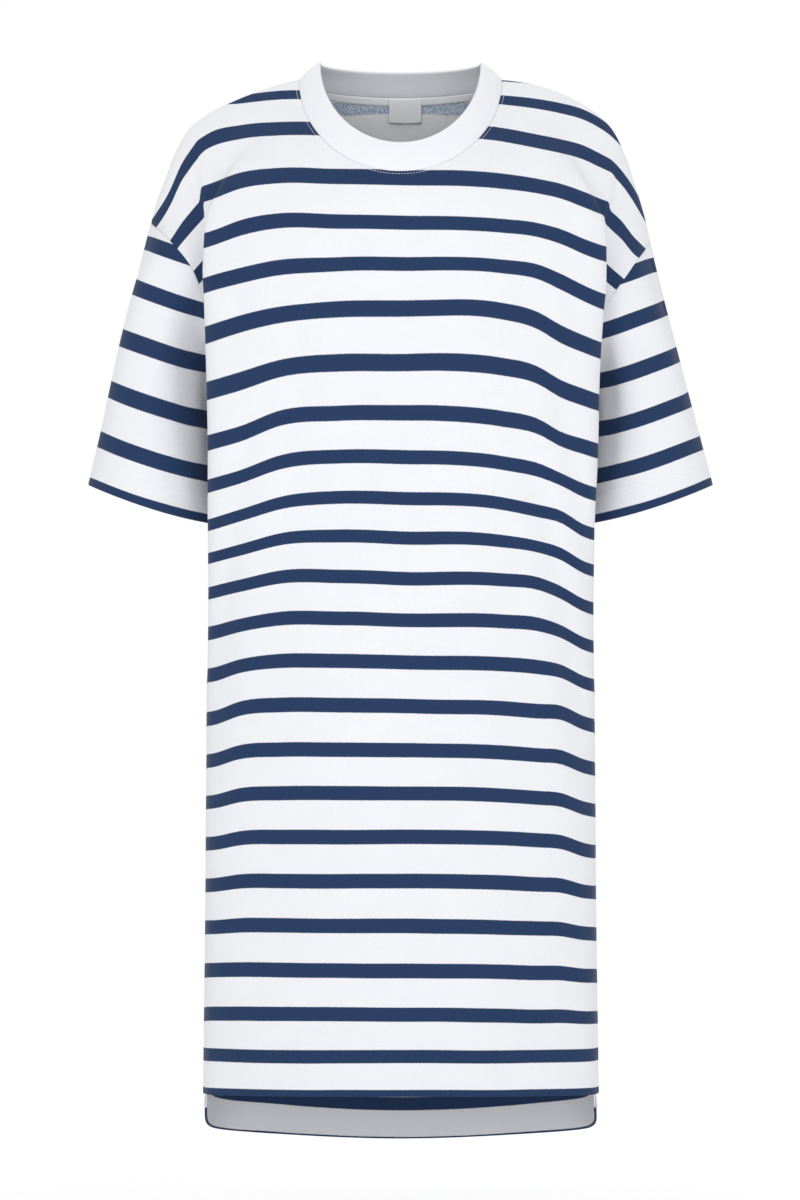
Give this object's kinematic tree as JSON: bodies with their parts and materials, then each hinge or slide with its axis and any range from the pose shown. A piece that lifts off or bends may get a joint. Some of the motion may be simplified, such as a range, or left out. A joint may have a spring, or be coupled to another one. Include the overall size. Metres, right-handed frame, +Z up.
{
  "type": "nightshirt",
  "caption": "Knee-length striped jersey nightshirt with drop shoulders, short sleeves, a plain rib neckband and a longer back hem, filled out as if worn.",
  "frame": {"origin": "middle of the neck, at the height where the neckband tops the shoulders, where the wearer's shoulders carry the garment", "axes": "+Z up, -Y is the front, +X is the garment's left side"},
  "size_m": [0.566, 0.2524, 0.9831],
  "materials": {
    "striped_jersey": "matt cotton jersey, white with narrow navy stripes across",
    "white_rib": "matt fine rib, plain white",
    "label_ribbon": "smooth plain ribbon, blank"
  },
  "bodies": {
    "root": {"front": "striped_jersey", "back": "striped_jersey", "sleeve_left": "striped_jersey", "sleeve_right": "striped_jersey", "neckband": "white_rib", "label": "label_ribbon"}
  },
  "joints": []
}
